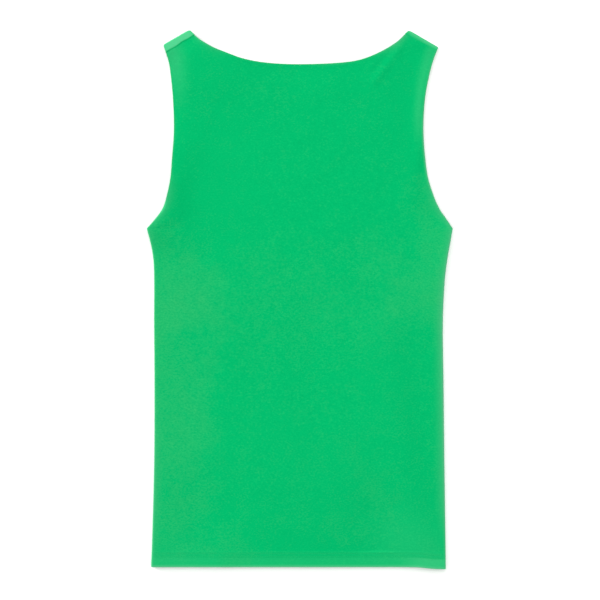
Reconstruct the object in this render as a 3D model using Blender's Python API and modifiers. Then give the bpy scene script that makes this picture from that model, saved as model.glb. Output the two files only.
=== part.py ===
"""A tank top in plain jersey, laid flat with its back up.

X runs across the garment, Y from the hem to the shoulders, and Z up from the surface that it lies on.
Each panel is a wall of cloth. It starts as the right side of the cloth, an open surface lofted through
sections across the garment, and gets its thickness inward. The front lies underneath, and its straps
fold over the tops of the shoulders to meet the back's straps at the shoulder seams. Lengths are in
millimetres up to the point where a mesh is made. A height is measured from the lowest point of the hem.
"""

import math
from collections import namedtuple

import bmesh
import bpy

MM = 0.001

# Cloth and layers
CLOTH = 1.0  # wall of a panel
SEAM_GAP = 0.3  # between pieces at a seam, and between layers that touch
LOFT = 3.4  # height of the back's right side where it lies over the front
COLOUR = (0.004, 0.527, 0.159, 1.0)  # bright leaf green, linear
ROUGHNESS = 0.9

# Main sizes
TOTAL_LENGTH = 652.9  # lowest point of the hem to the top of the shoulders
ARMPIT_HEIGHT = 411.8

# Hem, turned up inside
HEM_DEPTH = 19.0
HEM_TURN = CLOTH + SEAM_GAP / 2  # radius of the turn, measured on the right side
HEM_LEVEL = 5.2  # height of the back's right side over four plies
HEM_FADE = 45.0  # length over which the back sinks from the hem to its loft
HEM_LIFT = 1.2  # the hem line above its lowest point, which is the right corner
HEM_LIFT_FADE = 30.0
TURN_STEPS = 6

# Side seams, where each panel rolls down or up to meet the other
SIDE_ROLL = 1.8  # radius of the roll
SIDE_ROLL_HEM = 2.45  # and round the turned hem
ROLL_END = 0.3  # straight stretch beyond the roll, along the seam
ROLL_STEPS = 3
ROLL_FADE_FROM = 400.0  # height from which the roll opens out into the armhole
ROLL_FADE = 36.0
SIDE_FADE = 22.0  # width over which the back settles from its sides to its loft

# Armhole and neck edges
EDGE_RIDGE = 0.7  # low ridge along the turned edge of each armhole
EDGE_RIDGE_IN = 9.0  # its distance from the edge
EDGE_RIDGE_WIDTH = 6.0
EDGE_RIDGE_FROM = 480.0
EDGE_RIDGE_TO = 610.0
EDGE_RIDGE_FADE = 45.0
NECK_SINK = 1.4  # the back's neck edge sinks where the front isn't under it
NECK_SINK_DEPTH = 28.0
NECK_SINK_HALF = 95.0
FRONT_NECK_DROP = 35.0  # the front's neckline below the back's, at the middle
FRONT_NECK_POWER = 0.7

# Shoulders
FOLD_RADIUS = 1.7  # turn of a front strap over the top of the shoulder
FOLD_SLOPE = math.radians(10)  # rise of the strap from that turn to the seam
FOLD_STEPS = 6
SEAM_FADE = 14.0  # length over which a back strap sinks from the seam to its loft

# Sections and columns of the meshes
HEM_HEIGHTS = (9, HEM_DEPTH)
LOWER_HEIGHTS = (30, 46, 66, 92, 122, 152, 184, 216, 248, 278, 305, 328, 348, 366, 380, 391, 402)
BODY_HEIGHTS = HEM_HEIGHTS + LOWER_HEIGHTS + (ARMPIT_HEIGHT,)
ARMHOLE_ROWS = 18
ARMHOLE_EVEN = 0.3  # share of even spacing between those rows, which crowd at both ends
STRAP_COLUMNS = 3
BACK_NECK_COLUMNS = 26
STRAP_LAST = ROLL_STEPS + 1 + STRAP_COLUMNS  # last column of a strap, counted from its outer edge
FRONT_NECK_COLUMNS = 16

Width = namedtuple("Width", "height left right")
Neck = namedtuple("Neck", "x height")
Shoulder = namedtuple("Shoulder", "fold_outer fold_neck seam_outer seam_neck")
Fold = namedtuple("Fold", "from_x from_height to_x to_height width rise")
Section = namedtuple("Section", "x height drop lean")

SIDE_SEAM = (
    Width(0.0, -180.7, 176.4),
    Width(34.0, -179.4, 176.0),
    Width(131.0, -176.9, 174.6),
    Width(228.0, -176.1, 173.4),
    Width(325.0, -176.3, 172.9),
    Width(349.4, -176.7, 175.0),
    Width(373.6, -177.7, 177.8),
    Width(392.0, -180.5, 181.0),
    Width(ARMPIT_HEIGHT, -184.8, 184.8),
)

ARMHOLE = (
    Width(ARMPIT_HEIGHT, -184.8, 184.8),
    Width(422.1, -177.1, 178.6),
    Width(434.3, -168.2, 170.1),
    Width(446.4, -163.1, 164.1),
    Width(470.6, -157.4, 156.0),
    Width(494.9, -155.3, 152.0),
    Width(531.0, -152.9, 149.4),
    Width(567.7, -153.9, 151.3),
    Width(591.9, -156.0, 155.2),
    Width(611.3, -158.7, 159.8),
    Width(624.7, -162.6, 164.2),
    Width(633.9, -165.2, 168.8),
)

NECKLINE = (
    Neck(-133.6, 652.9),
    Neck(-127.5, 646.1),
    Neck(-121.4, 640.9),
    Neck(-106.8, 631.7),
    Neck(-92.3, 625.6),
    Neck(-70.5, 617.9),
    Neck(-48.6, 613.6),
    Neck(-24.4, 611.1),
    Neck(5.9, 610.6),
    Neck(36.3, 611.6),
    Neck(60.5, 613.8),
    Neck(75.1, 617.1),
    Neck(89.6, 622.9),
    Neck(104.2, 630.2),
    Neck(118.7, 639.9),
    Neck(126.7, 647.4),
    Neck(132.4, 652.4),
)

# Each pair is x and height. The fold is the top of the shoulder, and the seam joins front to back.
SHOULDERS = (
    Shoulder((-165.2, 633.9), (-133.6, 652.9), (-162.6, 624.7), (-127.5, 646.1)),
    Shoulder((167.2, 631.2), (132.4, 652.4), (165.4, 628.2), (126.7, 647.8)),
)

# Soft ridges (rise above 0) and troughs of the back, each along a line
FOLDS = (
    Fold(-170, 386, -70, 394, 26, -0.9),  # below the left armhole
    Fold(-140, 330, -95, 318, 30, 0.6),
    Fold(-88, 110, -80, 360, 42, 0.8),  # down the left half
    Fold(50, 20, 44, 170, 26, -0.7),  # trough and ridge right of the middle
    Fold(94, 20, 90, 280, 28, 0.9),
    Fold(-150, 108, -144, 45, 18, -0.6),  # lower left
    Fold(160, 155, 161, 60, 12, -0.5),  # lower right
    Fold(120, 632, 92, 598, 8, 1.1),  # short pull from the right shoulder
)


def smooth(t):
    t = min(max(t, 0.0), 1.0)
    return t * t * (3 - 2 * t)


def mix(a, b, t):
    return a + (b - a) * t


def between(start, end, t):
    return mix(start[0], end[0], t), mix(start[1], end[1], t)


def curve(rows, at, along, across):
    """Value of one column of a table, on a smooth curve through its rows."""
    last = len(rows) - 1
    here = [getattr(row, along) for row in rows]
    value = [getattr(row, across) for row in rows]
    i = next((k for k in range(last) if at <= here[k + 1]), last - 1)
    slopes = []
    for k in (i, i + 1):
        low, high = max(k - 1, 0), min(k + 1, last)
        slopes.append((value[high] - value[low]) / (here[high] - here[low]))
    span = here[i + 1] - here[i]
    t = (at - here[i]) / span
    rise = value[i + 1] - value[i]
    bend = (slopes[0] * span - rise) * (1 - t) - (slopes[1] * span - rise) * t
    return value[i] + rise * t + bend * t * (1 - t)


def side_edge(height, side):
    rows = SIDE_SEAM if height <= ARMPIT_HEIGHT else ARMHOLE
    return curve(rows, height, "height", side)


def neck_height(x):
    return curve(NECKLINE, x, "x", "height")


def hem_height(x):
    """The hem line is straight, but for its right corner, which hangs a little lower."""
    corner = SIDE_SEAM[0].right
    return HEM_LIFT * smooth((corner - x) / HEM_LIFT_FADE)


def roll_angle(height):
    """A quarter turn along the side seams, which opens to nothing up the armholes."""
    return math.radians(90) * (1 - smooth((height - ROLL_FADE_FROM) / ROLL_FADE))


def roll_radius(height):
    return mix(SIDE_ROLL_HEM, SIDE_ROLL, smooth((height - HEM_DEPTH) / HEM_FADE))


def roll_points(height):
    """The edge of a panel from its seam inward: distance in, drop below the roll's top, and lean."""
    angle, radius = roll_angle(height), roll_radius(height)
    full = radius * (1 - math.cos(angle)) + ROLL_END * math.sin(angle)
    points = [(0.0, full, angle)]
    for step in range(ROLL_STEPS + 1):
        lean = angle * (1 - step / ROLL_STEPS)
        flat = (1 - math.sin(angle)) * radius * step / ROLL_STEPS
        inward = ROLL_END * math.cos(angle) + radius * (math.sin(angle) - math.sin(lean)) + flat
        points.append((inward, radius * (1 - math.cos(lean)), lean))
    return points


def edge_level(height):
    """Height of the back's right side at its sides, so that the two panels' edges just meet."""
    angle, radius = roll_angle(height), roll_radius(height)
    rolls = 2 * radius * (1 - math.cos(angle)) + 2 * ROLL_END * math.sin(angle)
    return SEAM_GAP + 2 * CLOTH * math.cos(angle) + rolls


def distance_to_line(x, height, start, end):
    """Distance from a point to a line between two points, and how far along that line it is nearest."""
    run, climb = end[0] - start[0], end[1] - start[1]
    t = ((x - start[0]) * run + (height - start[1]) * climb) / (run * run + climb * climb)
    t = min(max(t, 0.0), 1.0)
    near_x, near_height = between(start, end, t)
    return math.hypot(x - near_x, height - near_height), t


def fold_rise(x, height):
    total = 0.0
    for fold in FOLDS:
        start, end = (fold.from_x, fold.from_height), (fold.to_x, fold.to_height)
        away, _ = distance_to_line(x, height, start, end)
        total += fold.rise * math.exp(-((away / fold.width) ** 2))
    return total * smooth((height - HEM_DEPTH) / HEM_FADE)


def strap_level(depth):
    """Height of a front strap's right side at a distance in from the top of the shoulder."""
    top = FOLD_RADIUS * (1 + math.cos(FOLD_SLOPE))
    return top + (depth - FOLD_RADIUS * (1 - math.sin(FOLD_SLOPE))) * math.tan(FOLD_SLOPE)


def strap_depth(shoulder, t):
    fold = between(shoulder.fold_outer, shoulder.fold_neck, t)
    seam = between(shoulder.seam_outer, shoulder.seam_neck, t)
    return math.dist(fold, seam)


def back_level(x, height, edge_height, from_left, from_right):
    """Height of the back's right side, apart from the drop of its side rolls."""
    level = mix(HEM_LEVEL, LOFT, smooth((height - HEM_DEPTH) / HEM_FADE)) + fold_rise(x, height)
    sink = 1 - smooth((neck_height(x) - height) / NECK_SINK_DEPTH)
    if height > ARMPIT_HEIGHT:
        level -= NECK_SINK * sink * (1 - smooth(abs(x) / NECK_SINK_HALF))
    for inward in (from_left, from_right):
        near = math.exp(-((inward / SIDE_FADE) ** 2))
        level = mix(level, edge_level(edge_height), near)
        ridge = math.exp(-(((inward - EDGE_RIDGE_IN) / EDGE_RIDGE_WIDTH) ** 2))
        fade_in = smooth((height - EDGE_RIDGE_FROM) / EDGE_RIDGE_FADE)
        fade_out = smooth((EDGE_RIDGE_TO - height) / EDGE_RIDGE_FADE)
        level += EDGE_RIDGE * ridge * fade_in * fade_out
    for shoulder in SHOULDERS:
        away, t = distance_to_line(x, height, shoulder.seam_outer, shoulder.seam_neck)
        seam = strap_level(strap_depth(shoulder, t))
        level = mix(level, seam, math.exp(-((away / SEAM_FADE) ** 2)))
    return level


def column_shares(neck_columns, left_share, right_share):
    """Where the columns between the two side rolls stand, as shares of the width there."""
    shares = [left_share * k / STRAP_COLUMNS for k in range(STRAP_COLUMNS)]
    shares += [mix(left_share, right_share, k / neck_columns) for k in range(neck_columns)]
    shares += [mix(right_share, 1.0, k / STRAP_COLUMNS) for k in range(STRAP_COLUMNS + 1)]
    return shares


def section(left_height, right_height, shares):
    """One section across a panel: x, height, drop and lean at each column, flat along its top."""
    left = side_edge(left_height, "left")
    right = side_edge(right_height, "right")
    left_roll, right_roll = roll_points(left_height), roll_points(right_height)
    row = []
    for inward, drop, lean in left_roll[:-1]:
        row.append((left + inward, drop, -lean))
    first, last = left + left_roll[-1][0], right - right_roll[-1][0]
    row += [(mix(first, last, share), 0.0, 0.0) for share in shares]
    for inward, drop, lean in reversed(right_roll[:-1]):
        row.append((right - inward, drop, lean))
    across = [(x - left) / (right - left) for x, _, _ in row]
    return [
        Section(x, mix(left_height, right_height, t), drop, lean)
        for (x, drop, lean), t in zip(row, across)
    ]


def upper_rows(top_left, top_right, shares, top_edge):
    """Sections from the armpits up, which bend more and more to the shape of the panel's top edge."""
    last = section(top_left, top_right, shares)
    targets = top_edge(last)
    rows = []
    for step in range(1, ARMHOLE_ROWS + 1):
        even = step / ARMHOLE_ROWS
        v = mix((1 - math.cos(math.pi * even)) / 2, even, ARMHOLE_EVEN)
        heights = [mix(ARMPIT_HEIGHT, top, v) for top in (top_left, top_right)]
        row = section(*heights, shares)
        bent = []
        for spot, end, (goal_x, goal) in zip(row, last, targets):
            bend = smooth(v)
            x = spot.x + (goal_x - end.x) * bend
            bent.append(spot._replace(x=x, height=spot.height + (goal - end.height) * bend))
        rows.append((heights, bent))
    return rows


def back_top_edge(row):
    """The back ends at its shoulder seams and, between them, at the neckline."""
    left, right = SHOULDERS
    ends = []
    for spot in row:
        x = spot.x
        if x <= left.seam_neck[0]:
            t = (x - left.seam_outer[0]) / (left.seam_neck[0] - left.seam_outer[0])
            ends.append((x, mix(left.seam_outer[1], left.seam_neck[1], t)))
        elif x >= right.seam_neck[0]:
            t = (x - right.seam_outer[0]) / (right.seam_neck[0] - right.seam_outer[0])
            ends.append((x, mix(right.seam_outer[1], right.seam_neck[1], t)))
        else:
            ends.append((x, neck_height(x)))
    return ends


def strap_point(shoulder, t, inward):
    """A point of a strap at a distance in from the top of the shoulder."""
    fold = between(shoulder.fold_outer, shoulder.fold_neck, t)
    seam = between(shoulder.seam_outer, shoulder.seam_neck, t)
    return between(fold, seam, inward / math.dist(fold, seam))


def front_top_edge(row):
    """The front's straps start to turn a little below the shoulder tops, beside its lower neckline."""
    strap = STRAP_LAST
    left, right = SHOULDERS
    ends = []
    left_neck = strap_point(left, 1.0, FOLD_RADIUS)
    right_neck = strap_point(right, 1.0, FOLD_RADIUS)
    for column, spot in enumerate(row):
        from_right = len(row) - 1 - column
        if column <= strap:
            t = (spot.x - row[0].x) / (row[strap].x - row[0].x)
            ends.append(strap_point(left, t, FOLD_RADIUS))
        elif from_right <= strap:
            t = (spot.x - row[-1].x) / (row[-1 - strap].x - row[-1].x)
            ends.append(strap_point(right, t, FOLD_RADIUS))
        else:
            t = (spot.x - left_neck[0]) / (right_neck[0] - left_neck[0])
            ease = (1 - (2 * t - 1) ** 2) ** FRONT_NECK_POWER
            ends.append((spot.x, neck_height(spot.x) - FRONT_NECK_DROP * ease))
    return ends


def hem_rows(body, level, up):
    """The turned hem: the inner ply from its cut edge down, then the turn round to the right side."""
    first = body[0]
    rows = []
    for row in reversed(body[1 : 1 + len(HEM_HEIGHTS)]):
        rows.append([inside(spot, level(row, spot), up, 2 * HEM_TURN) for spot in row[1]])
    for step in range(TURN_STEPS, 0, -1):
        turn = math.pi * step / TURN_STEPS
        depth = HEM_TURN * (1 - math.cos(turn))
        out = HEM_TURN * math.sin(turn)
        points = []
        for spot in first[1]:
            x, y, z = inside(spot, level(first, spot), up, depth)
            points.append((x, y - out, z))
        rows.append(points)
    return rows


def inside(spot, level, up, depth):
    """A point of a section, moved into the panel at right angles to its right side."""
    z = level - up * spot.drop
    return (
        spot.x - depth * math.sin(spot.lean),
        spot.height,
        z - up * depth * math.cos(spot.lean),
    )


def body_rows(shares):
    rows = []
    turn_start = section(HEM_TURN, HEM_TURN, shares)
    rows.append(((HEM_TURN, HEM_TURN), turn_start))
    for height in BODY_HEIGHTS:
        rows.append(((height, height), section(height, height, shares)))
    lifted = []
    for heights, row in rows:
        fade = 1 - smooth(heights[0] / (2 * HEM_LIFT_FADE))
        spots = [spot._replace(height=spot.height + hem_height(spot.x) * fade) for spot in row]
        lifted.append((heights, spots))
    return lifted


def back_surface():
    left, right = SHOULDERS
    width = right.seam_outer[0] - left.seam_outer[0]
    rolled = width - 2 * SIDE_ROLL
    left_share = (left.seam_neck[0] - left.seam_outer[0] - SIDE_ROLL) / rolled
    right_share = 1 - (right.seam_outer[0] - right.seam_neck[0] - SIDE_ROLL) / rolled
    shares = column_shares(BACK_NECK_COLUMNS, left_share, right_share)
    body = body_rows(shares)
    upper = upper_rows(left.seam_outer[1], right.seam_outer[1], shares, back_top_edge)

    def level(row, spot):
        heights, spots = row
        edge = mix(*heights, (spot.x - spots[0].x) / (spots[-1].x - spots[0].x))
        return back_level(spot.x, spot.height, edge, spot.x - spots[0].x, spots[-1].x - spot.x)

    rows = hem_rows(body, level, 1)
    for row in body + upper:
        rows.append([inside(spot, level(row, spot), 1, 0.0) for spot in row[1]])
    return rows


def front_surface():
    left, right = SHOULDERS
    left_end = strap_point(left, 0.0, FOLD_RADIUS)
    right_end = strap_point(right, 0.0, FOLD_RADIUS)
    left_neck = strap_point(left, 1.0, FOLD_RADIUS)
    right_neck = strap_point(right, 1.0, FOLD_RADIUS)
    rolled = right_end[0] - left_end[0] - 2 * SIDE_ROLL
    left_share = (left_neck[0] - left_end[0] - SIDE_ROLL) / rolled
    right_share = 1 - (right_end[0] - right_neck[0] - SIDE_ROLL) / rolled
    shares = column_shares(FRONT_NECK_COLUMNS, left_share, right_share)
    body = body_rows(shares)
    upper = upper_rows(left_end[1], right_end[1], shares, front_top_edge)

    def level(row, spot):
        return 0.0  # its right side lies on the surface

    rows = hem_rows(body, level, -1)
    for row in body + upper:
        rows.append([inside(spot, level(row, spot), -1, 0.0) for spot in row[1]])
    return rows + strap_wraps(upper[-1][1])


def strap_wraps(start):
    """The front straps, round the shoulder tops and on to the seams. Between them there is no cloth."""
    strap = STRAP_LAST
    turns = [(math.pi - FOLD_SLOPE) * (k + 1) / FOLD_STEPS for k in range(FOLD_STEPS)]
    count = len(start)
    rows = []
    for step in range(FOLD_STEPS + 1):
        points = []
        for column, spot in enumerate(start):
            if strap < column < count - 1 - strap:
                points.append(None)
                continue
            on_left = column <= strap
            shoulder = SHOULDERS[0] if on_left else SHOULDERS[1]
            outer, neck = (start[0], start[strap]) if on_left else (start[-1], start[-1 - strap])
            t = (spot.x - outer.x) / (neck.x - outer.x)
            if step < FOLD_STEPS:
                inward = FOLD_RADIUS * (1 - math.sin(turns[step]))
                z = FOLD_RADIUS * (1 - math.cos(turns[step]))
            else:
                inward = strap_depth(shoulder, t) - SEAM_GAP - CLOTH * math.sin(FOLD_SLOPE)
                z = strap_level(inward)
            x, height = strap_point(shoulder, t, inward)
            points.append((x, height, z))
        rows.append(points)
    return rows


def cloth_material(name):
    material = bpy.data.materials.new(name)
    material.use_nodes = True
    surface = material.node_tree.nodes["Principled BSDF"]
    surface.inputs["Base Color"].default_value = COLOUR
    surface.inputs["Roughness"].default_value = ROUGHNESS
    surface.inputs["Metallic"].default_value = 0.0
    material.diffuse_color = COLOUR
    return material


def add_panel(name, rows, right_side_up, collection):
    """A panel from its rows of points: the right side as a grid, with the cloth's wall behind it."""
    grid = bmesh.new()
    points = []
    for row in rows:
        verts = []
        for point in row:
            if point is None:
                verts.append(None)
                continue
            x, height, z = point
            verts.append(grid.verts.new((x * MM, (height - TOTAL_LENGTH / 2) * MM, z * MM)))
        points.append(verts)
    for lower, upper in zip(points, points[1:]):
        for c in range(len(lower) - 1):
            corners = [lower[c], lower[c + 1], upper[c + 1], upper[c]]
            if None in corners:
                continue
            grid.faces.new(corners if right_side_up else corners[::-1])
    mesh = bpy.data.meshes.new(name)
    grid.to_mesh(mesh)
    grid.free()
    mesh.shade_smooth()
    panel = bpy.data.objects.new(name, mesh)
    mesh.materials.append(cloth_material(name + "_jersey"))
    collection.objects.link(panel)
    wall = panel.modifiers.new("Cloth", "SOLIDIFY")
    wall.thickness = CLOTH * MM
    wall.offset = -1.0
    wall.use_even_offset = True
    return panel


def main():
    for thing in list(bpy.data.objects):
        bpy.data.objects.remove(thing, do_unlink=True)
    tank_top = bpy.data.collections.new("tank_top")
    bpy.context.scene.collection.children.link(tank_top)
    add_panel("back_panel", back_surface(), True, tank_top)
    add_panel("front_panel", front_surface(), False, tank_top)


main()
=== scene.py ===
import math
import random
import bpy
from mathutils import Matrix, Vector, noise


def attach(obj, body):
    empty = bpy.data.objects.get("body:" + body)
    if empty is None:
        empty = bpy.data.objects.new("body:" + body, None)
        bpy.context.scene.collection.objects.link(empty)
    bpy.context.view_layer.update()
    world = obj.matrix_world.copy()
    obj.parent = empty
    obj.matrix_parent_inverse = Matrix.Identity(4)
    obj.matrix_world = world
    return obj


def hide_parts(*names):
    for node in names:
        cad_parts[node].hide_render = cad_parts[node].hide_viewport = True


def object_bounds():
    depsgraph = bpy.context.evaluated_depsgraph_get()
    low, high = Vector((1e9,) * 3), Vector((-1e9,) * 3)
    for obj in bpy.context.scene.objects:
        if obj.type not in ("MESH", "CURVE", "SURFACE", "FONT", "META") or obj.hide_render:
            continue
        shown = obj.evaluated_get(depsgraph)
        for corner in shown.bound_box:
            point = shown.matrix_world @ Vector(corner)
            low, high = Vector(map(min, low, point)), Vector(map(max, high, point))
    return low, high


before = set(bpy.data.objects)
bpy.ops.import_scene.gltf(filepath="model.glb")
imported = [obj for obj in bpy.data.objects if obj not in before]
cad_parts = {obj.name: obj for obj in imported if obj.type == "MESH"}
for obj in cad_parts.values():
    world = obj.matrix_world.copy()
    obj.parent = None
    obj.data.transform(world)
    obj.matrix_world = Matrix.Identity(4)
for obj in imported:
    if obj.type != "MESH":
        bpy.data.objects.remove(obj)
cadLow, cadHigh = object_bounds()
print("frame loaded")

# Tank top in fine cotton jersey, laid flat with its back up. Lengths are in millimetres, but for the studio's
# lights and floor. x runs across the garment, a height runs up it from the foot of the frame's box, and z is
# the height above the floor.

mm = 0.001

garment = {
    "length": (cadHigh.y - cadLow.y) / mm,
    "armpit": 411.8,
    "thickness": 0.75,  # of the jersey
    "edgeRound": 0.22,  # bevel of the cut and turned edges
    "edgeAngle": 55,  # in degrees, from which an edge is rounded
}

# height, left edge, right edge
sideSeam = [
    (0.0, -180.7, 176.7),
    (34.0, -179.4, 176.4),
    (131.0, -177.0, 175.1),
    (228.0, -176.6, 174.0),
    (300.0, -177.1, 173.2),
    (349.4, -177.0, 175.5),
    (373.6, -177.9, 178.4),
    (392.0, -180.7, 181.7),
    (411.8, -185.7, 185.3),
]
armhole = [
    (411.8, -185.7, 185.3),
    (422.1, -176.8, 178.6),
    (434.3, -167.8, 170.1),
    (446.4, -162.9, 164.2),
    (470.6, -157.5, 156.1),
    (494.9, -155.4, 152.2),
    (531.0, -153.1, 149.7),
    (567.7, -154.1, 151.4),
    (591.9, -156.2, 155.4),
    (611.3, -158.8, 160.2),
    (624.7, -162.5, 164.8),
    (633.9, -165.8, 169.0),
]
# x, height
neckline = [
    (-133.8, 653.3),
    (-127.5, 646.4),
    (-121.4, 641.2),
    (-106.8, 632.4),
    (-92.3, 626.4),
    (-70.5, 618.4),
    (-48.6, 614.0),
    (-24.4, 611.8),
    (5.9, 611.3),
    (36.3, 612.2),
    (60.5, 614.3),
    (75.1, 617.3),
    (89.6, 622.7),
    (104.2, 630.0),
    (118.7, 639.4),
    (126.7, 647.0),
    (132.4, 652.4),
]
# x and height of each end of a shoulder's fold and of its seam, first at the armhole, then at the neck
shoulders = {
    "left": {"fold": ((-166.1, 634.9), (-134.1, 653.4)), "seam": ((-162.5, 624.7), (-127.5, 646.4))},
    "right": {"fold": ((168.1, 631.7), (132.4, 652.5)), "seam": ((166.1, 628.2), (126.9, 647.8))},
}


def smooth(t):
    t = min(max(t, 0.0), 1.0)
    return t * t * (3 - 2 * t)


def mix(a, b, t):
    return a + (b - a) * t


def between(start, end, t):
    return mix(start[0], end[0], t), mix(start[1], end[1], t)


def bell(away, width):
    return math.exp(-((away / width) ** 2))


def alongTable(rows, at, column):
    # a smooth curve through one column of a table, read at a place along its first column
    last = len(rows) - 1
    at = min(max(at, rows[0][0]), rows[last][0])
    i = next((k for k in range(last) if at <= rows[k + 1][0]), last - 1)
    slopes = []
    for k in (i, i + 1):
        low, high = rows[max(k - 1, 0)], rows[min(k + 1, last)]
        slopes.append((high[column] - low[column]) / (high[0] - low[0]))
    span = rows[i + 1][0] - rows[i][0]
    t = (at - rows[i][0]) / span
    rise = rows[i + 1][column] - rows[i][column]
    bend = (slopes[0] * span - rise) * (1 - t) - (slopes[1] * span - rise) * t
    return rows[i][column] + rise * t + bend * t * (1 - t)


def sideEdge(height, column):
    return alongTable(sideSeam if height <= garment["armpit"] else armhole, height, column)


def neckHeight(x):
    return alongTable(neckline, x, 1)


def awayFromLine(x, height, start, end):
    # distance from a line between two points, and the share of the way along it
    run, climb = end[0] - start[0], end[1] - start[1]
    t = ((x - start[0]) * run + (height - start[1]) * climb) / (run * run + climb * climb)
    t = min(max(t, 0.0), 1.0)
    nearX, nearHeight = between(start, end, t)
    return math.hypot(x - nearX, height - nearHeight), t


def gradedPlaces(start, end, fineStart, fineEnd, widest, growth=1.3):
    # places from start to end that stand close at its ends and wide apart in between
    def stepsFrom(fine):
        steps, size = [], fine
        while size < widest:
            steps.append(size)
            size *= growth
        return steps

    first, last = stepsFrom(fineStart), stepsFrom(fineEnd)[::-1]
    length = abs(end - start)
    middle = max(length - sum(first) - sum(last), 0.0)
    count = max(round(middle / widest), 1)
    steps = first + [middle / count] * count + last
    scale = (end - start) / sum(steps)
    places, at = [start], start
    for step in steps:
        at += step * scale
        places.append(at)
    places[-1] = end
    return places


# Both panels have the same hem and the same rolled sides.

hem = {
    "depth": 19.0,
    "turn": 1.0,  # radius of the turn, on the right side
    "lift": 1.2,  # height of the hem line
    "dip": 2.3,  # and how far it falls to its right corner
    "dipFrom": (138.0, 170.0),
    "corner": (118.0, 152.0),  # where the right corner's look begins and is full
    "lineFade": 60.0,  # height from which the rows of points are straight
    "needleRows": (13.0, 17.0),  # twin needle, 4 mm gauge
    "needleDent": 0.03,
    "needleDentWidth": 0.8,
    "uneven": 0.5,  # of the dents, from stitch to stitch
    "unevenSize": (2.2, 4.0),
    "turnSteps": 10,
    # heights of the rows of points, which stand closer from so far below the needle rows
    "plainRows": (2.5, 4.0, 5.5, 7.0, 8.5),
    "closeFrom": 3.0,
    "closeRows": 0.45,
}
sideRoll = {
    "radius": 1.8,
    "radiusAtHem": 2.15,  # the roll goes round four plies there
    "radiusFade": 70.0,
    "end": 0.3,  # straight stretch from the seam to the roll
    "wall": 1.0,  # of each of the frame's panels
    "gap": 0.3,  # between them
    "steps": 6,
    "openFrom": 400.0,  # it opens at the armpits
    "openOver": 36.0,
}


def hemHeight(x):
    start, end = hem["dipFrom"]
    return hem["lift"] - hem["dip"] * smooth((x - start) / (end - start))


def cornerShare(x):
    start, end = hem["corner"]
    return smooth((x - start) / (end - start))


def rollAngle(height):
    return math.radians(90) * (1 - smooth((height - sideRoll["openFrom"]) / sideRoll["openOver"]))


def rollRadius(height):
    fade = smooth((height - hem["depth"]) / sideRoll["radiusFade"])
    return mix(sideRoll["radiusAtHem"], sideRoll["radius"], fade)


def rollPoints(height):
    # a panel's edge from its seam inward: distance in, drop below the roll's top, lean
    angle, radius = rollAngle(height), rollRadius(height)
    full = radius * (1 - math.cos(angle)) + sideRoll["end"] * math.sin(angle)
    points = [(0.0, full, angle)]
    for step in range(sideRoll["steps"] + 1):
        lean = angle * (1 - step / sideRoll["steps"])
        flat = (1 - math.sin(angle)) * radius * step / sideRoll["steps"]
        inward = sideRoll["end"] * math.cos(angle) + radius * (math.sin(angle) - math.sin(lean)) + flat
        points.append((inward, radius * (1 - math.cos(lean)), lean))
    return points


def edgeLevel(height):
    # height of the back's right side at the top of the two panels' rolls
    angle, radius = rollAngle(height), rollRadius(height)
    rolls = 2 * radius * (1 - math.cos(angle)) + 2 * sideRoll["end"] * math.sin(angle)
    return sideRoll["gap"] + 2 * sideRoll["wall"] * math.cos(angle) + rolls


def section(leftHeight, rightHeight, shares):
    # one row of points across a panel: x, height, drop below the roll's top, lean
    left, right = sideEdge(leftHeight, 1), sideEdge(rightHeight, 2)
    leftRoll, rightRoll = rollPoints(leftHeight), rollPoints(rightHeight)
    row = [(left + inward, drop, -lean) for inward, drop, lean in leftRoll[:-1]]
    first, last = left + leftRoll[-1][0], right - rightRoll[-1][0]
    row += [(mix(first, last, share), 0.0, 0.0) for share in shares]
    row += [(right - inward, drop, lean) for inward, drop, lean in reversed(rightRoll[:-1])]
    climb = (rightHeight - leftHeight) / (right - left)
    return [(x, leftHeight + (x - left) * climb, drop, lean) for x, drop, lean in row]


def inside(spot, level, up, depth):
    # a point of a section, moved into the panel square to its right side
    x, height, drop, lean = spot
    return x - depth * math.sin(lean), height, level - up * drop - up * depth * math.cos(lean)


def bodyRows(heights, shares):
    rows = []
    for height in heights:
        fade = 1 - smooth(height / hem["lineFade"])
        row = section(height, height, shares)
        shifted = [(x, at + hemHeight(x) * fade, drop, lean) for x, at, drop, lean in row]
        rows.append(((height, height), shifted))
    return rows


# away from the armholes' edges, the upper rows' points stand upright below the top edge
upright = {
    "from": 0.5,  # share of the way up
    "over": 0.35,
    "clear": 30.0,
}


def upperRows(topLeft, topRight, places, shares, topEdge):
    # sections from the armpits up, which bend more and more to the panel's top edge
    last = section(topLeft, topRight, shares)
    goals = topEdge(last)
    rows = []
    for v in places:
        heights = (mix(garment["armpit"], topLeft, v), mix(garment["armpit"], topRight, v))
        bend = smooth(v)
        bent = []
        for (x, at, drop, lean), end, goal in zip(section(*heights, shares), last, goals):
            clear = min(end[0] - last[0][0], last[-1][0] - end[0])
            straight = smooth((v - upright["from"]) / upright["over"]) * smooth(clear / upright["clear"])
            x = mix(x, end[0], straight) + (goal[0] - end[0]) * bend
            bent.append((x, at + (goal[1] - end[1]) * bend, drop, lean))
        rows.append((heights, bent))
    return rows


def hemPlaces():
    # heights of the rows between the hem's turn and its ply's cut edge, close where the needle rows are
    places = [hem["turn"], *hem["plainRows"]]
    at = hem["needleRows"][0] - hem["closeFrom"]
    while at < hem["depth"] - hem["closeRows"] / 2:
        places.append(at)
        at += hem["closeRows"]
    return places + [hem["depth"]]


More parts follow.
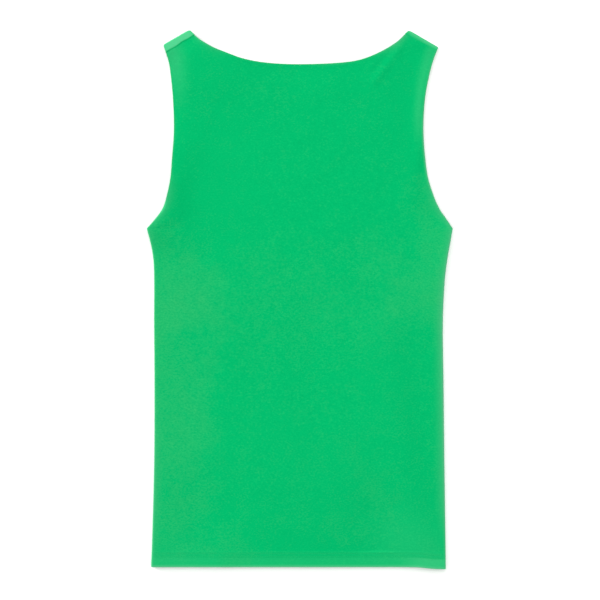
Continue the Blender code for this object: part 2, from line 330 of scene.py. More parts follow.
def panelRows(body, upper, level, up):
    # the hem's ply from its cut edge down, the turn, then the right side up to the top
    def moved(row, depth):
        return [inside(spot, level(row, spot), up, depth) for spot in row[1]]

    rows = [moved(row, 2 * hem["turn"]) for row in reversed(body[1 : len(hemPlaces())])]
    for step in range(hem["turnSteps"], 0, -1):
        angle = math.pi * step / hem["turnSteps"]
        out = hem["turn"] * math.sin(angle)
        turned = moved(body[0], hem["turn"] * (1 - math.cos(angle)))
        rows.append([(x, height - out, z) for x, height, z in turned])
    return rows + [moved(row, 0.0) for row in body + upper]


def columnShares(width, leftStrap, rightStrap, columns):
    # close columns along the armholes and at the straps' neck corners
    atEdge, atNeck, widest = columns
    places = gradedPlaces(0, leftStrap, atEdge, atNeck, widest)[:-1]
    places += gradedPlaces(leftStrap, width - rightStrap, atNeck, atNeck, widest)[:-1]
    places += gradedPlaces(width - rightStrap, width, atNeck, atEdge, widest)
    return [place / width for place in places]


# the straps' corners are soft: shoulder, end of the strap, radius
strapCorners = [("left", 0, 2.4), ("left", 1, 3.0), ("right", 0, 1.6), ("right", 1, 2.6)]


def roundCorners(x, height):
    # moves a point near a strap's corner so that the corner becomes an arc
    for name, end, radius in strapCorners:
        corner, far = shoulders[name]["fold"][end], shoulders[name]["fold"][1 - end]
        below = shoulders[name]["seam"][end]
        along = Vector((far[0] - corner[0], far[1] - corner[1])).normalized()
        down = Vector((below[0] - corner[0], below[1] - corner[1])).normalized()
        away = Vector((x - corner[0], height - corner[1]))
        cross = along.x * down.y - along.y * down.x
        a = radius - (away.x * down.y - away.y * down.x) / cross
        b = radius - (along.x * away.y - along.y * away.x) / cross
        if a <= 0 or b <= 0:
            continue
        scale = max(a, b) / math.hypot(a, b)
        place = Vector(corner) + along * (radius - a * scale) + down * (radius - b * scale)
        return place.x, place.y
    return x, height


def addObject(name, data):
    made = bpy.data.objects.new(name, data)
    bpy.context.scene.collection.objects.link(made)
    return made


def meshFromRows(name, rows, rightSideUp, paintedLightAt):
    points, faces, index, highlightShare, sheenShare = [], [], {}, [], []
    middle = garment["length"] / 2
    for r, row in enumerate(rows):
        for c, point in enumerate(row):
            if point is None:
                continue
            index[r, c] = len(points)
            x, height = roundCorners(point[0], point[1])
            points.append((x * mm, (height - middle) * mm, point[2] * mm))
            paintedPair = point[3] if len(point) > 3 else paintedLightAt(point, row)
            highlightShare.append(paintedPair[0])
            sheenShare.append(paintedPair[1])
    for r in range(len(rows) - 1):
        for c in range(len(rows[0]) - 1):
            corners = [index.get(k) for k in ((r, c), (r, c + 1), (r + 1, c + 1), (r + 1, c))]
            if None not in corners:
                faces.append(corners if rightSideUp else corners[::-1])
    mesh = bpy.data.meshes.new(name)
    mesh.from_pydata(points, [], faces)
    mesh.attributes.new("highlightShare", "FLOAT", "POINT").data.foreach_set("value", highlightShare)
    mesh.attributes.new("sheenShare", "FLOAT", "POINT").data.foreach_set("value", sheenShare)
    mesh.shade_smooth()
    return addObject(name, mesh)


def giveThickness(piece):
    wall = piece.modifiers.new("Jersey", "SOLIDIFY")
    wall.thickness = garment["thickness"] * mm
    wall.offset = -1.0
    wall.use_even_offset = True
    edge = piece.modifiers.new("Edge", "BEVEL")
    edge.limit_method = "ANGLE"
    edge.angle_limit = math.radians(garment["edgeAngle"])
    edge.width = garment["edgeRound"] * mm
    edge.segments = 2


# The front's straps fold over the tops of the shoulders and come down on the back's side.

frontPanel = {
    "turn": 1.7,  # radius of the fold at the top of a strap
    "slope": math.radians(10),
    "seamGap": 0.05,
    "seamStep": {"left": 0.75, "right": 0.12},  # how far the strap bends down to meet the back at the seam
    "seamStepWidth": 1.1,
    "seamWave": {"left": 0.5, "right": 0.1},
    "waveTurns": (40, 740),  # degrees of that wave from end to end
    "flareReach": 14.0,  # how far in its hem rises with the back's at the side seams
    "neckDrop": 35.0,  # the front's neck is cut lower
    "neckPower": 0.7,
    "turnSteps": 14,
    # spacing of the points where they start and end, and at the widest
    "columns": (0.7, 0.9, 4.2),
    "bodyRows": (0.8, 1.5, 5.0),
    "armholeRows": (1.0, 0.6, 4.2),
    "strapRows": (8, 2.5, 9),  # in hundredths of the strap's length
}


def seamPoint(name, t):
    # the shoulder seam wanders a little
    start, end = shoulders[name]["seam"]
    x, height = between(start, end, t)
    along = Vector((end[0] - start[0], end[1] - start[1])).normalized()
    turned = math.radians(mix(*frontPanel["waveTurns"], t))
    wave = frontPanel["seamWave"][name] * math.sin(math.pi * t) * math.sin(turned)
    return x - along.y * wave, height + along.x * wave


def strapDepth(name, t):
    return math.dist(between(*shoulders[name]["fold"], t), seamPoint(name, t))


def strapPoint(name, t, inward):
    return between(between(*shoulders[name]["fold"], t), seamPoint(name, t), inward / strapDepth(name, t))


def strapLevel(depth):
    # height of a strap's right side at a distance from its fold
    turn, slope = frontPanel["turn"], frontPanel["slope"]
    return turn * (1 + math.cos(slope)) + (depth - turn * (1 - math.sin(slope))) * math.tan(slope)


backPanel = {
    "loft": 3.6,  # height of the back's right side over the front
    "hemLevel": 4.7,  # and over the four plies of the hems
    "hemFade": 60.0,
    "lowest": 1.7,  # it can't sink into the front, nor its hem into the front's
    "lowestAtHem": 4.2,
    "lowestFade": 6.0,
    "ease": 0.4,
    "edgeStep": 0.12,  # the hem ply's cut edge shows through
    "edgeStepFrom": 1.5,
    "edgeStepOver": 2.5,
    "flare": 0.4,  # the hem's edge stands up a little, and more at its right corner
    "flareCorner": 1.3,
    "sideFade": {"left": 46.0, "right": 36.0},
    "strapFade": 10.0,
    "neckSink": 0.9,  # the neck edge sinks where the front isn't under it
    "neckSinkDepth": 44.0,
    "neckSinkAt": -14.0,
    "neckSinkHalf": 66.0,
    "neckTrough": 0.42,  # and its turned edge lifts out of a shallow trough
    "neckTroughIn": 7.5,
    "neckTroughOuter": 4.8,
    "neckTroughInner": 14.0,
    "neckTroughAt": -22.0,
    "neckTroughHalf": 70.0,
    "neckTroughLeast": 0.3,
    "neckTroughClear": (4.0, 16.0),  # distance from a shoulder seam where it begins and is full
    "wave": 0.2,  # slight unevenness of cloth that was washed and laid by hand
    "waveSize": 30.0,
    "creaseReach": 2.6,  # a crease ends so many widths away
    "creaseFade": (-40.0, 20.0),  # heights where they begin and are full, so they weaken toward the hem
    "liftReach": 150.0,  # an edge's ridge isn't looked for further in
    "partOver": 25.0,  # height over which the two panels part above the armpits
    # spacing of the points where they start and end, and at the widest
    "columns": (0.7, 0.9, 3.1),
    "bodyRows": (0.5, 1.2, 3.1),
    "armholeRows": (0.9, 0.28, 2.6),
}
# The side seams and the armholes' turned edges don't lie alike. Height, rise of the ridge along the edge, how
# far in it runs, its width toward the edge and inward.
edgeRidge = {
    "left": [
        (370.0, 0.0, 2.0, 6.0, 24.0),
        (385.0, 0.6, 0.0, 6.0, 23.0),
        (400.0, 2.6, -2.0, 6.0, 23.0),
        (412.0, 4.0, -2.0, 6.0, 24.0),
        (425.0, 3.5, 2.5, 5.0, 26.0),
        (440.0, 3.7, 3.5, 5.0, 26.0),
        (455.0, 4.6, 0.0, 6.0, 23.0),
        (480.0, 3.4, 0.0, 8.0, 24.0),
        (500.0, 2.6, 0.0, 9.0, 28.0),
        (516.0, 1.8, 3.0, 10.0, 33.0),
        (535.0, 1.1, 8.0, 12.0, 42.0),
        (560.0, 1.1, 19.0, 17.0, 60.0),
        (590.0, 2.2, 24.0, 20.0, 80.0),
        (634.0, 2.7, 26.0, 22.0, 90.0),
    ],
    "right": [
        (275.0, 0.0, 0.0, 8.0, 24.0),
        (312.0, 0.9, 0.0, 8.0, 24.0),
        (350.0, 1.6, 0.0, 8.0, 23.0),
        (385.0, 1.7, 0.0, 8.0, 22.0),
        (404.0, 0.6, 8.0, 12.0, 24.0),
        (418.0, 0.4, 24.0, 12.0, 20.0),
        (440.0, 0.7, 26.0, 10.0, 20.0),
        (480.0, 0.8, 14.0, 7.0, 17.0),
        (503.0, 1.0, 7.0, 6.0, 14.0),
        (519.0, 1.1, 3.5, 5.0, 12.0),
        (543.0, 1.2, 2.5, 4.0, 11.0),
        (560.0, 1.35, 3.0, 4.0, 9.0),
        (575.0, 1.3, 1.5, 4.0, 9.5),
        (600.0, 1.2, 1.0, 4.0, 10.0),
        (632.0, 1.2, 1.0, 4.0, 11.0),
    ],
}
# Creases of the back: x and height of both ends, width on the left and on the right of the line seen from its
# first end, rise (a trough's is below zero).
creases = [
    (-187, 384, -130, 384, 28, 17, -1.6),  # trough below the left armhole
    (-118, 522, -126, 396, 70, 26, -1.2),  # and beside it
    (-150, 338, -112, 322, 26, 26, 0.5),
    (-92, 150, -84, 300, 34, 34, 0.6),  # down the left half
    (12, 300, 22, 120, 26, 26, -0.7),  # shallow trough down the middle
    (-34, 112, 44, 108, 90, 60, 2.1),  # broad ridge across above the hem
    (-30, 58, 44, 54, 60, 22, 0.8),
    (104, 276, 128, 128, 26, 36, 1.9),  # ridge down the right, steeper outside
    (148, 86, 176, 8, 32, 42, 2.9),  # at the hem's right corner
    (92, 70, 104, 14, 60, 42, -1.5),
    (184, 410, 178, 340, 12, 60, 1.6),  # below the right armpit
    (-142, 66, -148, 34, 50, 34, -1.7),  # lower left
    (-176, 5, -100, 5, 30, 20, 1.3),
    (122, 632, 90.5, 591, 6.2, 4.4, 0.95),  # short pulls from the right shoulder
    (101, 625, 84, 606, 3.2, 3.0, 0.3),
    (133, 628, 105, 588, 13, 13, 0.25),
    (179, 404, 150, 392, 5, 5, 0.35),  # fine ones at the right underarm
    (168, 372, 154, 335, 7, 7, 0.4),
]


def creaseRise(x, height):
    total = 0.0
    for x0, height0, x1, height1, leftWidth, rightWidth, rise in creases:
        reach = backPanel["creaseReach"] * max(leftWidth, rightWidth)
        if not min(x0, x1) - reach < x < max(x0, x1) + reach:
            continue
        if not min(height0, height1) - reach < height < max(height0, height1) + reach:
            continue
        away, _ = awayFromLine(x, height, (x0, height0), (x1, height1))
        side = (x1 - x0) * (height - height0) - (height1 - height0) * (x - x0)
        side /= math.dist((x0, height0), (x1, height1)) * max(away, 0.001)
        total += rise * bell(away, mix(rightWidth, leftWidth, (1 + side) / 2))
    start, end = backPanel["creaseFade"]
    return total * smooth((height - start) / (end - start))


def edgeLift(side, inward, height):
    # what the ridge along a side seam and its armhole's turned edge adds
    rows = edgeRidge[side]
    if height < rows[0][0] or inward > backPanel["liftReach"]:
        return 0.0
    rise, ridgeIn, outer, inner = [alongTable(rows, height, column) for column in (1, 2, 3, 4)]
    return rise * bell(inward - ridgeIn, outer if inward < ridgeIn else inner)


def seamLift(side, inward, height):
    # the two panels rise together along the side seam, and part above the armpit
    parted = smooth((height - garment["armpit"]) / backPanel["partOver"])
    return edgeLift(side, inward, min(height, garment["armpit"])) * (1 - parted)


def restOn(level, lowest):
    # keeps a trough off what lies under it
    ease = backPanel["ease"]
    return lowest + ease * math.exp((level - lowest) / ease - 1) if level < lowest + ease else level


def waviness(x, height):
    # a slow noise and a finer one of half its height
    place = Vector((x, height, 3.0)) / backPanel["waveSize"]
    return backPanel["wave"] * (noise.noise(place) + 0.5 * noise.noise(place * 2.1))


def hemFlare(x, height):
    # the hem's turned edge stands up a little
    flare = mix(backPanel["flare"], backPanel["flareCorner"], cornerShare(x))
    return flare * (1 - smooth(height / hem["needleRows"][0]))


def neckRelief(x, below, seamAway):
    # the sunk neck edge and the trough behind it, at a distance below the edge
    sink = 1 - smooth(below / backPanel["neckSinkDepth"])
    sink *= 1 - smooth(abs(x - backPanel["neckSinkAt"]) / backPanel["neckSinkHalf"])
    least = backPanel["neckTroughLeast"]
    share = least + (1 - least) * bell(x - backPanel["neckTroughAt"], backPanel["neckTroughHalf"])
    past = below - backPanel["neckTroughIn"]
    trough = bell(past, backPanel["neckTroughOuter" if past < 0 else "neckTroughInner"]) * share
    start, end = backPanel["neckTroughClear"]
    clear = smooth((seamAway - start) / (end - start))
    return -backPanel["neckSink"] * sink - backPanel["neckTrough"] * trough * clear


def hemRelief(x, height):
    # dents of the two needle rows, uneven from stitch to stitch, and the step at the ply's cut edge
    above = height - hemHeight(x)
    sizeX, sizeHeight = hem["unevenSize"]
    pull = 1 + hem["uneven"] * noise.noise(Vector((x / sizeX, above / sizeHeight, 9.0)))
    dents = sum(bell(above - row, hem["needleDentWidth"]) for row in hem["needleRows"])
    step = smooth((hem["depth"] + backPanel["edgeStepFrom"] - above) / backPanel["edgeStepOver"])
    return backPanel["edgeStep"] * step - hem["needleDent"] * pull * dents


def backLevel(x, height, edgeHeight, fromLeft, fromRight):
    # height of the back's right side above the floor
    fade = smooth((height - hem["depth"]) / backPanel["hemFade"])
    level = mix(backPanel["hemLevel"], backPanel["loft"], fade)
    level += creaseRise(x, height) + waviness(x, height)
    fade = smooth((height - hem["depth"]) / backPanel["lowestFade"])
    level = restOn(level, mix(backPanel["lowestAtHem"], backPanel["lowest"], fade))
    for side, inward in (("left", fromLeft), ("right", fromRight)):
        level = mix(level, edgeLevel(edgeHeight), bell(inward, backPanel["sideFade"][side]))
        level += edgeLift(side, inward, height)
    seamAway = math.inf
    for name, shoulder in shoulders.items():
        away, t = awayFromLine(x, height, *shoulder["seam"])
        top = strapLevel(strapDepth(name, t)) - frontPanel["seamStep"][name]
        level = mix(level, top, bell(away, backPanel["strapFade"]))
        seamAway = min(seamAway, away)
    if height > garment["armpit"]:
        level += neckRelief(x, neckHeight(x) - height, seamAway)
    return level + hemRelief(x, height) + hemFlare(x, height)


def backTopEdge(row):
    # the back ends at the shoulder seams and the neckline
    goals = []
    for x, *_ in row:
        goal = (x, neckHeight(x))
        for name in shoulders:
            outer, neck = shoulders[name]["seam"]
            t = (x - outer[0]) / (neck[0] - outer[0])
            if t <= 1:
                goal = seamPoint(name, t)
        goals.append(goal)
    return goals


# Painted highlight over folds, armholes, hem and patches, and painted sheen along the edges: shares from 0 to
# 1.
paintedLight = {
    "strap": {"left": 0.86, "right": 0.8},
    "strapReach": {"left": 100.0, "right": 3.3},  # how far from the fold the painted highlight reaches
    "strapFlat": 1.0,  # full as far as this from the fold
    "strapTurn": (0.3, 0.4),  # share of the turn where it begins, and over which it grows
    "strapEnd": 0.09,
    "strapEndShare": 0.7,
    "seamClear": (1.0, 0.6),  # distance from the left seam where it begins, and over which it grows
    # painted highlight along the armholes: share, distance in, width, and the heights where it begins and is
    # full
    "armhole": {"left": (0.25, 6.0, 10.0, 545.0, 625.0), "right": (0.17, 6.0, 5.0, 505.0, 550.0)},
    # painted sheen on the hem's turn
    "hemFoldSheen": 1.0,
    "hemFoldReach": 1.75,
    # painted highlight on the hem's turn
    "hemFoldHighlight": 0.6,
    "hemPly": 0.03,
    "hemBand": 0.05,  # painted highlight below the needle rows
    "hemBandClear": 0.6,
    "hemCorner": 0.23,  # the painted highlight's band at the right corner
    "highlightPatches": [(125.0, 34.0, 36.0, 0.07), (160.0, 18.0, 22.0, 0.05), (-150.0, 10.0, 30.0, 0.04)],
    "nearReach": 1.8,
    "farReach": 7.0,
    # height, near and far share of the painted sheen at the left edge, near and far share at the right edge
    "edges": [
        (0.0, 0.5, 0.1, 0.6, 0.0),
        (30.0, 0.5, 0.1, 0.65, 0.0),
        (85.0, 0.5, 0.2, 0.7, 0.32),
        (180.0, 0.5, 0.08, 1.2, 0.38),
        (300.0, 0.28, 0.0, 1.15, 0.42),
        (385.0, 0.35, 0.07, 0.95, 0.25),
        (438.0, 0.3, 0.3, 0.45, 0.3),
        (483.0, 0.2, 0.0, 1.0, 0.0),
        (531.0, 0.2, 0.0, 1.1, 0.0),
        (568.0, 0.05, 0.0, 0.45, 0.0),
        (620.0, 0.05, 0.0, 0.5, 0.0),
    ],
    # x, near and far share of the painted sheen at the neck edge
    "neck": [
        (-134.0, 0.4, 0.1),
        (-108.0, 0.4, 0.1),
        (-80.0, 0.12, 0.0),
        (-40.0, 0.12, 0.0),
        (-15.0, 0.0, 0.0),
        (15.0, 0.1, 0.0),
        (48.0, 0.3, 0.0),
        (78.0, 0.12, 0.0),
        (102.0, 0.5, 0.05),
        (121.0, 0.65, 0.3),
        (133.0, 0.4, 0.2),
    ],
}


# painted sheen near an edge
def edgeSheenShare(rows, at, column, inward):
    near, far = alongTable(rows, at, column), alongTable(rows, at, column + 1)
    return near * bell(inward, paintedLight["nearReach"]) + far * bell(inward, paintedLight["farReach"])


# painted highlight and painted edge sheen at a point of a panel
def paintedLightOfPanel(point, row):
    x, height = point[0], point[1]
    above = height - hemHeight(x)
    fromLeft, fromRight = x - row[0][0], row[-1][0] - x
    highlightShare = 0.0
    for side, inward in (("left", fromLeft), ("right", fromRight)):
        share, away, width, begins, full = paintedLight["armhole"][side]
        highlightShare += share * bell(inward - away, width) * smooth((height - begins) / (full - begins))
    band = mix(paintedLight["hemBand"], paintedLight["hemCorner"], cornerShare(x))
    highlightShare += band * smooth(hem["needleRows"][0] - paintedLight["hemBandClear"] - above)
    for patchX, patchHeight, reach, share in paintedLight["highlightPatches"]:
        highlightShare += share * bell(math.dist((x, height), (patchX, patchHeight)), reach)
    highlightShare += paintedLight["hemPly"] * smooth(hem["depth"] + 1 - above)
    fold = bell(above, paintedLight["hemFoldReach"])
    highlightShare += paintedLight["hemFoldHighlight"] * fold
    sheenShare = paintedLight["hemFoldSheen"] * fold
    sheenShare += edgeSheenShare(paintedLight["edges"], height, 1, fromLeft) + edgeSheenShare(paintedLight["edges"], height, 3, fromRight)
    if height > garment["armpit"]:
        sheenShare += edgeSheenShare(paintedLight["neck"], x, 1, max(neckHeight(x) - height, 0.0))
    return highlightShare, min(max(sheenShare, 0.0), 1.0)


# painted highlight where a strap turns over its fold
def paintedLightOfStrap(name, t, inward, depth, turned):
    ends = smooth(t / paintedLight["strapEnd"]) * smooth((1 - t) / paintedLight["strapEnd"])
    begins, over = paintedLight["strapTurn"]
    highlightShare = paintedLight["strap"][name] * smooth((turned - begins) / over) * mix(paintedLight["strapEndShare"], 1.0, ends)
    highlightShare *= bell(max(inward - paintedLight["strapFlat"], 0.0), paintedLight["strapReach"][name])
    if name == "left":
        clear, over = paintedLight["seamClear"]
        highlightShare *= smooth((depth - inward - clear) / over)
    return highlightShare, 0.0


def makeBack():
    (leftOuter, leftNeck), (rightOuter, rightNeck) = shoulders["left"]["seam"], shoulders["right"]["seam"]
    side = sideRoll["radius"]
    width = rightOuter[0] - leftOuter[0] - 2 * side
    leftStrap, rightStrap = leftNeck[0] - leftOuter[0] - side, rightOuter[0] - rightNeck[0] - side
    shares = columnShares(width, leftStrap, rightStrap, backPanel["columns"])
    lower = gradedPlaces(hem["depth"], garment["armpit"], *backPanel["bodyRows"])
    body = bodyRows(hemPlaces() + lower[1:], shares)
    climb = leftOuter[1] - garment["armpit"]
    places = [at / climb for at in gradedPlaces(0, climb, *backPanel["armholeRows"])[1:]]
    upper = upperRows(leftOuter[1], rightOuter[1], places, shares, backTopEdge)

    def level(row, spot):
        heights, spots = row
        left, right = spots[0][0], spots[-1][0]
        edge = mix(*heights, (spot[0] - left) / (right - left))
        return backLevel(spot[0], spot[1], edge, spot[0] - left, right - spot[0])

    piece = meshFromRows("back_jersey", panelRows(body, upper, level, 1), True, paintedLightOfPanel)
    giveThickness(piece)
    return piece


backJersey = makeBack()
print("back panel laid:", len(backJersey.data.polygons), "faces on its right side")


def makeFront():
    turn = frontPanel["turn"]
    leftEnd, leftNeck = strapPoint("left", 0.0, turn), strapPoint("left", 1.0, turn)
    rightEnd, rightNeck = strapPoint("right", 0.0, turn), strapPoint("right", 1.0, turn)
    side = sideRoll["radius"]
    width = rightEnd[0] - leftEnd[0] - 2 * side
    leftStrap, rightStrap = leftNeck[0] - leftEnd[0] - side, rightEnd[0] - rightNeck[0] - side
    shares = columnShares(width, leftStrap, rightStrap, frontPanel["columns"])
    edgeColumns = sideRoll["steps"] + 1
    leftLast = edgeColumns + min(range(len(shares)), key=lambda k: abs(shares[k] - leftStrap / width))
    rightFirst = edgeColumns + min(range(len(shares)), key=lambda k: abs(shares[k] - 1 + rightStrap / width))

    def alongStrap(row, c):
        if c <= leftLast:
            return "left", (row[c][0] - row[0][0]) / (row[leftLast][0] - row[0][0])
        if c >= rightFirst:
            return "right", (row[c][0] - row[-1][0]) / (row[rightFirst][0] - row[-1][0])
        return None, 0.0

    def topEdge(row):
        goals = []
        for c, spot in enumerate(row):
            name, t = alongStrap(row, c)
            if name:
                goals.append(strapPoint(name, t, turn))
                continue
            t = (spot[0] - leftNeck[0]) / (rightNeck[0] - leftNeck[0])
            ease = max(1 - (2 * t - 1) ** 2, 0.0) ** frontPanel["neckPower"]
            goals.append((spot[0], neckHeight(spot[0]) - frontPanel["neckDrop"] * ease))
        return goals

    def level(row, spot):
        # its right side lies on the floor, is dented by the needle rows and rises with the back at its sides
        heights, spots = row
        fromLeft, fromRight = spot[0] - spots[0][0], spots[-1][0] - spot[0]
        edge = mix(*heights, fromLeft / (fromLeft + fromRight))
        lift = seamLift("left", fromLeft, edge) + seamLift("right", fromRight, edge)
        lift += hemFlare(*spot[:2]) * bell(min(fromLeft, fromRight), frontPanel["flareReach"])
        above = spot[1] - hemHeight(spot[0])
        dents = sum(bell(above - at, hem["needleDentWidth"]) for at in hem["needleRows"])
        return lift + hem["needleDent"] * dents

    lower = gradedPlaces(hem["depth"], garment["armpit"], *frontPanel["bodyRows"])
    body = bodyRows(hemPlaces() + lower[1:], shares)
    climb = leftEnd[1] - garment["armpit"]
    places = [at / climb for at in gradedPlaces(0, climb, *frontPanel["armholeRows"])[1:]]
    upper = upperRows(leftEnd[1], rightEnd[1], places, shares, topEdge)
    rows = panelRows(body, upper, level, -1)

    # the straps: round the fold, then down to the shoulder seam
    start = upper[-1][1]
    steps, slope = frontPanel["turnSteps"], frontPanel["slope"]
    turns = [(math.pi - slope) * (k + 1) / steps for k in range(steps)]
    strapShares = [place / 100 for place in gradedPlaces(0, 100, *frontPanel["strapRows"])[1:]]
    for step in range(steps + len(strapShares)):
        row = []
        for c, spot in enumerate(start):
            name, t = alongStrap(start, c)
            if name is None:
                row.append(None)
                continue
            depth = strapDepth(name, t) - frontPanel["seamGap"]
            if step < steps:
                inward, z = turn * (1 - math.sin(turns[step])), turn * (1 - math.cos(turns[step]))
            else:
                inward = mix(turn * (1 - math.sin(slope)), depth, strapShares[step - steps])
                z = strapLevel(inward)
            if step >= steps // 2:
                z -= frontPanel["seamStep"][name] * bell(depth - inward, frontPanel["seamStepWidth"])
            x, height = strapPoint(name, t, inward)
            row.append((x, height, z, paintedLightOfStrap(name, t, inward, depth, step / steps)))
        rows.append(row)
    piece = meshFromRows("front_jersey", rows, False, paintedLightOfPanel)
    giveThickness(piece)
    return piece


frontJersey = makeFront()
print("front panel laid:", len(frontJersey.data.polygons), "faces on its right side")

stitching = {
    "radius": 0.15,
    "stitch": 2.7,
    "gap": 0.45,  # between two stitches, where the thread dives into the cloth
    "belly": 0.12,
    "endShare": 0.45,  # of its thickness
    "sides": 6,
    "rings": 6,
    "sideClear": 4.0,
    "rise": 0.04,  # the thread's middle above the dented cloth
    "stray": 0.07,  # from the straight row
    "seed": 5,
}


def addStitch(points, faces, start, end, belly):
    # one stitch: a short tube, tapered where it dives into the cloth
    base = len(points)
    run = Vector(end) - Vector(start)
    along = run.normalized()
    across = Vector((-along.y, along.x, 0.0))
    rings, sides = stitching["rings"], stitching["sides"]
    for ring in range(rings):
        t = ring / (rings - 1)
        bow = math.sin(math.pi * t)
        centre = Vector(start) + run * t + Vector((0, 0, belly * (bow - 0.5)))
        thick = stitching["radius"] * mm * mix(stitching["endShare"], 1.0, bow ** 0.5)
        for k in range(sides):
            angle = 2 * math.pi * k / sides
            points.append(centre + (across * math.cos(angle) + Vector((0, 0, math.sin(angle)))) * thick)
    for ring in range(rings - 1):
        for k in range(sides):
            a, b = base + ring * sides + k, base + ring * sides + (k + 1) % sides
            faces.append((a, b, b + sides, a + sides))
    faces.append([base + k for k in reversed(range(sides))])
    faces.append([base + (rings - 1) * sides + k for k in range(sides)])


def makeStitching(name, levelAt, up):
    rand = random.Random(stitching["seed"])
    points, faces = [], []
    middle = garment["length"] / 2
    halfGap = stitching["gap"] / stitching["stitch"] / 2
    for rowHeight in hem["needleRows"]:
        left = sideEdge(rowHeight, 1) + stitching["sideClear"]
        right = sideEdge(rowHeight, 2) - stitching["sideClear"]
        count = round((right - left) / stitching["stitch"])
        for k in range(count):
            ends = []
            for share in (k + halfGap, k + 1 - halfGap):
                x = mix(left, right, share / count)
                height = rowHeight + hemHeight(x) + rand.uniform(-stitching["stray"], stitching["stray"])
                ends.append((x * mm, (height - middle) * mm, levelAt(x, height) * mm))
            addStitch(points, faces, ends[0], ends[1], up * stitching["belly"] * mm)
    mesh = bpy.data.meshes.new(name)
    mesh.from_pydata([tuple(p) for p in points], [], faces)
    mesh.shade_smooth()
    return addObject(name, mesh)


def backStitchLevel(x, height):
    left, right = sideEdge(height, 1), sideEdge(height, 2)
    return backLevel(x, height, height, x - left, right - x) + stitching["rise"]


def frontStitchLevel(x, height):
    # far enough in that the front still lies flat on the floor
    return stitching["radius"] + stitching["belly"] / 2


backStitching = makeStitching("back_hem_stitching", backStitchLevel, 1)
frontStitching = makeStitching("front_hem_stitching", frontStitchLevel, -1)
print("hem stitched")


def colour(hexValue):
    # sRGB hex to linear
    channels = [int(hexValue[k : k + 2], 16) / 255 for k in (1, 3, 5)]
    return [c / 12.92 if c <= 0.04045 else ((c + 0.055) / 1.055) ** 2.4 for c in channels] + [1.0]


def addNode(tree, kind, links=None, **settings):
    # a node with its settings, its inputs filled by name or number from sockets or plain values
    node = tree.nodes.new("ShaderNode" + kind)
    for name, value in settings.items():
        setattr(node, name, value)
    for name, value in (links or {}).items():
        if isinstance(value, bpy.types.NodeSocket):
            tree.links.new(value, node.inputs[name])
        else:
            node.inputs[name].default_value = value
    return node


def newMaterial(name, surface):
    material = bpy.data.materials.new(name)
    material.use_nodes = True
    tree = material.node_tree
    tree.nodes.clear()
    shader = addNode(tree, "BsdfPrincipled", surface)
    addNode(tree, "OutputMaterial", {"Surface": shader.outputs[0]})
    return material, tree, shader


def bandScale(period):
    # scale of a wave texture with bands so many millimetres apart, which has 20 radians a metre at scale 1
    return 2 * math.pi / 20 / (period * mm)


jersey = {
    "green": "#00A55F",
    "fleckAndSheenGreen": "#30A65F",  # warm flecks and dye clouds, and the painted warm sheen
    "highlightGreen": "#4AB47C",  # painted highlight over folds, turned edges and the hem
    "sheenGreen": "#4CA677",  # painted sheen along the edges
    "wale": 0.8,  # width of a column of loops, 0.6 in a fine jersey and drawn coarser so that it shows
    "course": 0.62,  # height of a row of loops
    "loopHeight": 0.05,
    "courseLeast": 0.4,  # share of a loop's height at its ends
    "fleck": 2.6,  # size of the yarn's unevenness
    "fleckSquash": (1.0, 1.5, 1.0),  # they are longer along the courses
    "fleckRelief": 1.2,  # against the loops' 1
    "fleckTone": 0.17,
    "fleckWarmth": 0.6,
    "streak": (33.0, 1.6),  # length and height of the faint streaks along the courses
    "streakTone": 0.012,
    "mottle": 13.0,  # size of the dye's clouds
    "mottleWarmth": 0.2,
    "stray": (190.0, 150.0, 0.0),  # how far the outlines of the painted warm sheen stray
    "strayWave": 1000 / 14,  # length of their waves
    "roughness": 0.9,
    "specular": 0.02,
    "sheen": 0.12,
    "sheenRoughness": 0.3,
    "sheenTint": "#D8F5E4",
    "plainWarmth": -0.047,  # share of the warm green where the flecks and clouds are even
}
# Painted warm sheen: x, height, half width, half height, share of that where it is full, strength.
warmSheenPlaces = [
    (0, 215, 600, 187, 0.87, 0.05),  # all below the arms
    (40, 322, 400, 82, 0.4, 0.085),
    (-205, 180, 132, 236, 0.36, 0.31),  # down the left side
    (-180, 352, 112, 80, 0.55, 0.21),
    (-108, 28, 78, 36, 0.1, 0.17),
    (185, 352, 75, 108, 0.4, 0.23),  # below the right arm
    (110, 388, 75, 40, 0.4, 0.07),
    (160, 455, 45, 70, 0.5, 0.12),
    (87, 95, 42, 75, 0.4, 0.08),
    (150, 24, 70, 34, 0.2, 0.07),
    (-110, 590, 60, 45, 0.3, 0.05),  # by the left strap
    (-25, 580, 45, 30, 0.3, 0.04),
    (86, 564, 18, 12, 0.3, 0.07),
]


